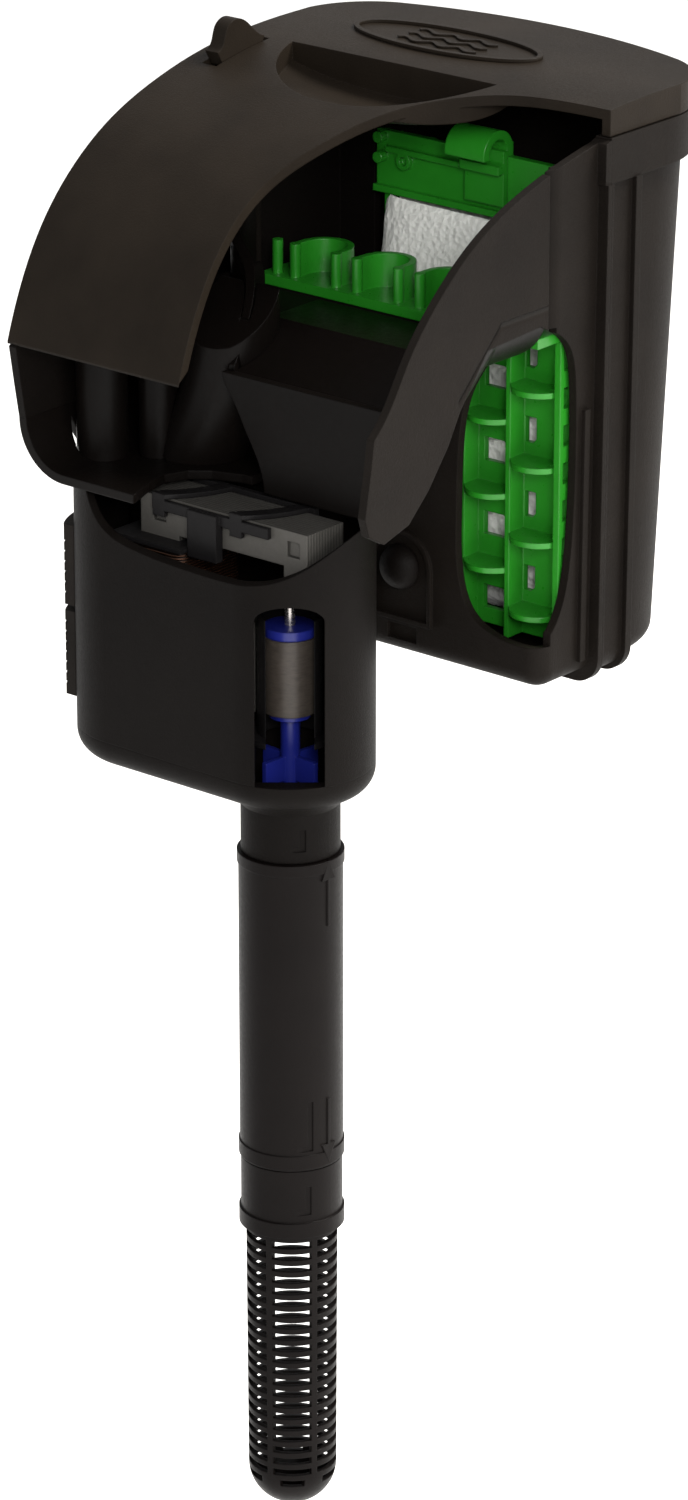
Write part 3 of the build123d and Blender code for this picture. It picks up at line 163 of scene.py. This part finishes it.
def floss_material():
    """Bonded polyester floss: short upright fibres and small pits."""
    mat, tree, shader = new_material("floss")
    vector = object_coords(tree)
    upright = object_coords(tree, (1.0, 1.0, 0.35))
    fibres = noise_node(tree, upright, 900.0, 6.0, 0.75)
    pits = voronoi_node(tree, vector, 620.0)
    colour = colour_mix(tree, fibres, (0.86, 0.86, 0.80), (0.95, 0.95, 0.90))
    tree.links.new(colour, shader.inputs["Base Color"])
    total = tree.nodes.new("ShaderNodeMath")
    total.operation = "ADD"
    tree.links.new(fibres, total.inputs[0])
    tree.links.new(pits, total.inputs[1])
    shader.inputs["Roughness"].default_value = 0.92
    shader.inputs["Sheen Weight"].default_value = 0.25
    bump(tree, shader, total.outputs["Value"], 0.8, 0.6 * MM)
    return mat


def laminated_steel():
    """Stamped sheets stacked front to back, with dull cut edges."""
    mat, tree, shader = new_material("laminated_steel")
    vector = object_coords(tree)
    sheets = wave_node(tree, vector, "Y", 310.0, 0.6)
    fine = noise_node(tree, vector, 700.0, FINE_DETAIL, FINE_ROUGHNESS)
    colour = colour_mix(tree, sheets, (0.034, 0.032, 0.028), (0.066, 0.062, 0.055))
    tree.links.new(colour, shader.inputs["Base Color"])
    shader.inputs["Metallic"].default_value = 0.35
    tree.links.new(remap(tree, fine, 0.5, 0.72), shader.inputs["Roughness"])
    bump(tree, shader, sheets, 0.35, 0.15 * MM)
    return mat


def ground_metal(name, dark, light, metallic, rough, stretch):
    """Metal with turning marks round its axis."""
    mat, tree, shader = new_material(name)
    vector = object_coords(tree, stretch)
    lines = noise_node(tree, vector, 500.0, 3.0, 0.6)
    tree.links.new(colour_mix(tree, lines, dark, light), shader.inputs["Base Color"])
    shader.inputs["Metallic"].default_value = metallic
    tree.links.new(remap(tree, lines, rough - 0.07, rough + 0.1), shader.inputs["Roughness"])
    bump(tree, shader, lines, 0.15, 0.1 * MM)
    return mat


def wound_wire():
    """Close turns of dark enamelled wire."""
    mat, tree, shader = new_material("wound_wire")
    vector = object_coords(tree)
    turns = wave_node(tree, vector, "Z", 420.0, 0.4)
    colour = colour_mix(tree, turns, (0.012, 0.006, 0.004), (0.060, 0.026, 0.014))
    tree.links.new(colour, shader.inputs["Base Color"])
    shader.inputs["Metallic"].default_value = 0.8
    shader.inputs["Roughness"].default_value = 0.35
    bump(tree, shader, turns, 0.7, 0.3 * MM)
    return mat


def granules():
    """Crushed carbon in lumps about 2 mm across."""
    mat, tree, shader = new_material("carbon_granules")
    vector = object_coords(tree)
    cells = voronoi_node(tree, vector, 500.0)
    colour = colour_mix(tree, cells, (0.012, 0.012, 0.012), (0.035, 0.034, 0.033))
    tree.links.new(colour, shader.inputs["Base Color"])
    shader.inputs["Roughness"].default_value = 0.8
    bump(tree, shader, cells, 1.0, 1.0 * MM)
    return mat


BODY = plastic(
    "body_plastic", (0.0027, 0.0020, 0.0017), (0.0038, 0.0029, 0.0024),
    rough=0.52, grain_scale=1900.0, grain=0.55, specular=0.055)
BOX = plastic(
    "box_plastic", (0.0050, 0.0038, 0.0030), (0.0074, 0.0057, 0.0045),
    rough=0.56, grain_scale=1700.0, grain=0.7, specular=0.06)
SMOOTH = plastic(
    "smooth_plastic", (0.0024, 0.0018, 0.0015), (0.0034, 0.0025, 0.0021),
    rough=0.38, grain_scale=900.0, grain=0.12, specular=0.08)
LID = plastic(
    "lid_plastic", (0.0090, 0.0067, 0.0047), (0.0132, 0.0099, 0.0070),
    rough=0.48, grain_scale=1900.0, grain=0.45, specular=0.06)
TUBE = plastic(
    "tube_plastic", (0.0032, 0.0023, 0.0021), (0.0045, 0.0033, 0.0030),
    rough=0.42, grain_scale=1100.0, grain=0.18, specular=0.07)
GREEN = plastic(
    "green_plastic", (0.012, 0.165, 0.009), (0.017, 0.210, 0.013),
    rough=0.32, grain_scale=500.0, grain=0.10, specular=0.45)
BLUE = plastic(
    "blue_plastic", (0.006, 0.010, 0.130), (0.010, 0.016, 0.180),
    rough=0.36, grain_scale=500.0, grain=0.08, specular=0.45)
DARK = plastic(
    "bobbin_plastic", (0.0060, 0.0056, 0.0058), (0.0085, 0.0078, 0.0080),
    rough=0.34, grain_scale=900.0, grain=0.12, specular=0.09)
PAD = plastic(
    "grip_rubber", (0.0095, 0.0080, 0.0070), (0.0145, 0.0122, 0.0106),
    rough=0.74, grain_scale=1300.0, grain=0.5, specular=0.06)
SEAL = plastic(
    "seal_rubber", (0.012, 0.011, 0.011), (0.018, 0.017, 0.017),
    rough=0.8, grain_scale=900.0, grain=0.3, specular=0.3)
STEEL = laminated_steel()
MAGNET = ground_metal(
    "magnet_ferrite", (0.028, 0.023, 0.018), (0.056, 0.045, 0.037),
    metallic=0.25, rough=0.42, stretch=(1, 1, 4))
PIN = ground_metal(
    "pin_steel", (0.42, 0.39, 0.37), (0.62, 0.58, 0.56),
    metallic=0.9, rough=0.25, stretch=(1, 1, 5))
WIRE = wound_wire()
CARBON = granules()
FLOSS = floss_material()

LOOKS = [
    (BODY, "bridge_plate left_cheek riser_elbow divider_wall motor_housing housing_base"),
    (BODY, "riser_pipe pump_gallery cord_gland level_screw"),
    (BOX, "box_front_shell box_rear_shell right_cheek"),
    (SMOOTH, "spout_deck spout_apron channel_wall spout_tray back_wall side_duct"),
    (SMOOTH, "riser_column_outer riser_column_inner"),
    (LID, "lid lid_emblem flow_lever"),
    (TUBE, "extension_tube tube_coupler strainer lower_bush"),
    (GREEN, "bio_comb bio_grid_panel cartridge_frame cartridge_grip"),
    (BLUE, "rotor_cap impeller"),
    (DARK, "rotor_well upper_bush coil_bobbin bobbin_bracket"),
    (PAD, "grip_pad_lower grip_pad_upper"),
    (SEAL, "housing_seal"),
    (STEEL, "stator_core core_rivets"),
    (MAGNET, "rotor_magnet"),
    (PIN, "rotor_pin"),
    (WIRE, "coil_winding"),
    (CARBON, "carbon_fill"),
    (FLOSS, "filter_bag"),
]


def paint():
    for mat, names in LOOKS:
        for name in names.split():
            mesh = nodes[name].data
            mesh.materials.clear()
            mesh.materials.append(mat)


# ---------------------------------------------------------------- the filter bag

# The blank pouch in millimetres: its two ends, how far the filled bag may pass them, and then
# the height, tank-side face and rear face of its section at six levels, from mouth to foot.
BAG_LEFT = -21.6
BAG_RIGHT = 48.2
BAG_SLACK = 1.0
BAG_LEVELS = [
    (25.0, 41.0, 45.0), (12.0, 38.9, 46.6), (-2.0, 33.6, 49.0),
    (-18.0, 30.4, 51.4), (-50.0, 30.0, 51.8), (-75.6, 32.4, 48.8),
]

BAG_SEAM_Y = 43.0 * MM
BAG_MOUTH_Z = 20.9 * MM         # just below the cartridge frame's bar
BAG_VOXEL = 4.0 * MM
BAG_SWELL = 1.9 * MM            # the most that any point moves in the simulation
BAG_CLOTH = 0.9 * MM
SMOOTH_LEVELS = 2

CLOTH_FRAMES = 20
CLOTH_PRESSURE = 4.0
CLOTH_QUALITY = 6

# Relief of the filled bag: noise frequency per metre, then depth.
LUMPS = (95.0, 0.55 * MM)
FOLDS = ((150.0, 150.0, 420.0), 0.25 * MM)
CREASES = (330.0, -0.35 * MM)
FUZZ = (1100.0, 0.08 * MM)
CALM_FALL = 28.0 * MM           # the relief fades in over this drop below the mouth
CALM_LEAST = 0.12
SEAM_WIDTH = 1.2 * MM
SEAM_RISE = 0.5 * MM
SIDE_FACING = 0.8


def bag_blank():
    """Plain pouch, a little smaller than the room it swells into."""
    front = [(near, z) for z, near, far in BAG_LEVELS]
    rear = [(far, z) for z, near, far in reversed(BAG_LEVELS)]
    profile = front + rear
    mesh = bpy.data.meshes.new("media_bag")
    shape = bmesh.new()
    left, right = [
        [shape.verts.new((x * MM, y * MM, z * MM)) for y, z in profile]
        for x in (BAG_LEFT, BAG_RIGHT)
    ]
    for i in range(len(profile)):
        j = (i + 1) % len(profile)
        shape.faces.new((left[i], left[j], right[j], right[i]))
    shape.faces.new(left[::-1])
    shape.faces.new(right)
    bmesh.ops.recalc_face_normals(shape, faces=shape.faces)
    shape.to_mesh(mesh)
    shape.free()
    bag = bpy.data.objects.new("media_bag", mesh)
    scene.collection.objects.link(bag)
    return bag


def bake_modifiers(obj):
    """Write the evaluated mesh back and drop every modifier."""
    graph = bpy.context.evaluated_depsgraph_get()
    baked = bpy.data.meshes.new_from_object(obj.evaluated_get(graph))
    obj.modifiers.clear()
    obj.data = baked


def swell(bag):
    """Blow the pouch up as cloth and cap how far each point moves."""
    start = [v.co.copy() for v in bag.data.vertices]
    cloth = bag.modifiers.new("Cloth", "CLOTH")
    cloth.settings.use_pressure = True
    cloth.settings.uniform_pressure_force = CLOTH_PRESSURE
    cloth.settings.effector_weights.gravity = 0.0
    cloth.settings.quality = CLOTH_QUALITY
    cloth.point_cache.frame_end = CLOTH_FRAMES
    for frame_number in range(1, CLOTH_FRAMES + 1):
        scene.frame_set(frame_number)
    graph = bpy.context.evaluated_depsgraph_get()
    moved = [v.co.copy() for v in bag.evaluated_get(graph).data.vertices]
    bag.modifiers.clear()
    scene.frame_set(1)
    for vert, old, new in zip(bag.data.vertices, start, moved):
        step = new - old
        if step.length > BAG_SWELL:
            step = step.normalized() * BAG_SWELL
        vert.co = old + step


def relief(co, normal):
    """Height of the bag's surface at a point: dents between the lumps, crinkles and a side seam."""
    calm = min(max((BAG_MOUTH_Z - co.z) / CALM_FALL, CALM_LEAST), 1.0)
    (across, along, up), fold_depth = FOLDS
    lumps = noise.noise(co * LUMPS[0]) * LUMPS[1]
    folds = noise.noise(Vector((co.x * across, co.y * along, co.z * up))) * fold_depth
    creases = abs(noise.noise(co * CREASES[0])) * CREASES[1]
    fuzz = noise.noise(co * FUZZ[0]) * FUZZ[1]
    height = (lumps + folds + creases) * calm + fuzz
    if abs(normal.x) > SIDE_FACING and abs(co.y - BAG_SEAM_Y) < SEAM_WIDTH:
        height += SEAM_RISE
    return height


def crumple(bag):
    """Move every point along its normal by its relief, and keep the bag between its end limits."""
    mesh = bag.data
    low = (BAG_LEFT - BAG_SLACK) * MM
    high = (BAG_RIGHT + BAG_SLACK) * MM
    normals = [v.normal.copy() for v in mesh.vertices]
    for vert, normal in zip(mesh.vertices, normals):
        vert.co = vert.co + normal * relief(vert.co, normal)
        vert.co.x = min(max(vert.co.x, low), high)


def open_mouth(bag):
    """Cut the pouch level below the frame's bar and leave it open there."""
    shape = bmesh.new()
    shape.from_mesh(bag.data)
    everything = shape.verts[:] + shape.edges[:] + shape.faces[:]
    bmesh.ops.bisect_plane(
        shape, geom=everything, plane_co=(0, 0, BAG_MOUTH_Z), plane_no=(0, 0, 1), clear_outer=True)
    shape.to_mesh(bag.data)
    shape.free()


def filter_bag():
    """Floss bag full of carbon, swollen by simulation, drawn over the cartridge frame."""
    bag = bag_blank()
    remesh = bag.modifiers.new("Remesh", "REMESH")
    remesh.mode = "VOXEL"
    remesh.voxel_size = BAG_VOXEL
    bake_modifiers(bag)
    swell(bag)
    smooth = bag.modifiers.new("Subdivision", "SUBSURF")
    smooth.levels = SMOOTH_LEVELS
    smooth.render_levels = SMOOTH_LEVELS
    bake_modifiers(bag)
    crumple(bag)
    open_mouth(bag)
    cloth = bag.modifiers.new("Thickness", "SOLIDIFY")
    cloth.thickness = BAG_CLOTH
    cloth.offset = -1.0
    bake_modifiers(bag)
    bag.data.shade_smooth()
    bag.data.materials.clear()
    bag.data.materials.append(FLOSS)
    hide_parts("filter_bag")
    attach(bag, "cartridge")


# ---------------------------------------------------------------- stage, light and camera

FLOOR_SIZE = 12.0
FLOOR_BELOW = 36.0 * MM         # clear of the strainer when it is pulled right down
FLOOR_CLOUD_SCALE = 3.0
WORLD_COLOUR = (0.92, 0.92, 0.93, 1)
WORLD_STRENGTH = 0.78

MIDDLE = (0.0, 0.0, -0.10)
CUT_FRONT = (0.02, 0.0, -0.02)  # where the lid and the box are cut open

# Name, place, aim, disc size, power and colour.
LAMPS = [
    ("key", (0.60, 0.80, 1.25), MIDDLE, 0.6, 52.0, (1.0, 0.97, 0.92)),
    ("fill", (1.30, -0.20, 0.40), MIDDLE, 0.8, 11.0, (1.0, 0.98, 0.95)),
    ("front", (1.02, -0.98, 0.62), CUT_FRONT, 0.45, 14.0, (1.0, 1.0, 1.0)),
]

VIEW_AZIMUTH = math.radians(40.0)
VIEW_ELEVATION = math.radians(21.0)
VIEW_TARGET = Vector((-0.0037, 0.0060, -0.1089))
VIEW_DISTANCE = 1.5122
LENS = 148.8
SENSOR = 36.0


def aim(thing, direction):
    thing.rotation_euler = direction.to_track_quat("-Z", "Y").to_euler()


def area_light(name, place, target, size, power, colour):
    data = bpy.data.lights.new(name, "AREA")
    data.shape = "DISK"
    data.size = size
    data.energy = power
    data.color = colour
    lamp = bpy.data.objects.new(name, data)
    scene.collection.objects.link(lamp)
    lamp.location = place
    aim(lamp, Vector(target) - Vector(place))


def floor_plane():
    bpy.ops.mesh.primitive_plane_add(size=FLOOR_SIZE, location=(0, 0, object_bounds()[0][2] - FLOOR_BELOW))
    floor = bpy.context.object
    floor.name = "studio_floor"
    mat, tree, shader = new_material("studio_floor")
    cloud = noise_node(tree, object_coords(tree), FLOOR_CLOUD_SCALE)
    colour = colour_mix(tree, cloud, (0.93, 0.93, 0.925), (0.96, 0.96, 0.955))
    tree.links.new(colour, shader.inputs["Base Color"])
    shader.inputs["Roughness"].default_value = 0.9
    floor.data.materials.append(mat)


def studio():
    floor_plane()
    world = bpy.data.worlds.new("studio_world")
    world.use_nodes = True
    background = world.node_tree.nodes["Background"]
    background.inputs["Color"].default_value = WORLD_COLOUR
    background.inputs["Strength"].default_value = WORLD_STRENGTH
    scene.world = world
    for lamp in LAMPS:
        area_light(*lamp)


def camera():
    data = bpy.data.cameras.new("camera")
    data.lens = LENS
    data.sensor_width = SENSOR
    data.sensor_fit = "AUTO"
    data.clip_start = 0.01
    data.clip_end = 50.0
    cam = bpy.data.objects.new("camera", data)
    scene.collection.objects.link(cam)
    back = Vector((
        math.sin(VIEW_AZIMUTH) * math.cos(VIEW_ELEVATION),
        -math.cos(VIEW_AZIMUTH) * math.cos(VIEW_ELEVATION),
        math.sin(VIEW_ELEVATION),
    ))
    cam.location = VIEW_TARGET + back * VIEW_DISTANCE
    aim(cam, -back)
    scene.camera = cam


paint()
filter_bag()
studio()
camera()
scene.view_settings.view_transform = "Standard"
